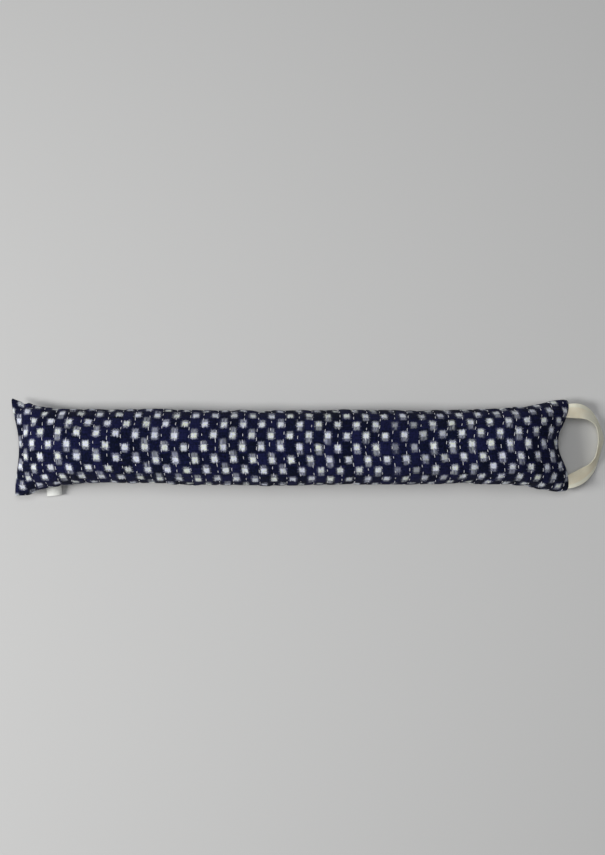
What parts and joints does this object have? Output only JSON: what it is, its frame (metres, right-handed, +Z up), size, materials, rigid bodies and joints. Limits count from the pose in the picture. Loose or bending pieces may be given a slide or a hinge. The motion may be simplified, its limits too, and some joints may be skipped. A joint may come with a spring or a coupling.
{
  "type": "draught excluder",
  "caption": "Stuffed quilted cotton tube for the gap under a door, with flat eared ends, a webbing carrying loop and a blank tab.",
  "frame": {"origin": "on the floor under the middle of the tube, on the flat underside", "axes": "X along the tube with the webbing loop at +X, +Y to the back edge, +Z up"},
  "size_m": [0.9616, 0.1591, 0.1035],
  "materials": {
    "ikat_cotton": "woven cotton, dyed dark indigo with pale blocks",
    "cream_webbing": "undyed cotton webbing",
    "white_tab": "white woven tape, bare"
  },
  "bodies": {
    "root": {"stuffed_tube": "ikat_cotton", "webbing_handle": "cream_webbing", "side_tab": "white_tab"}
  },
  "joints": []
}
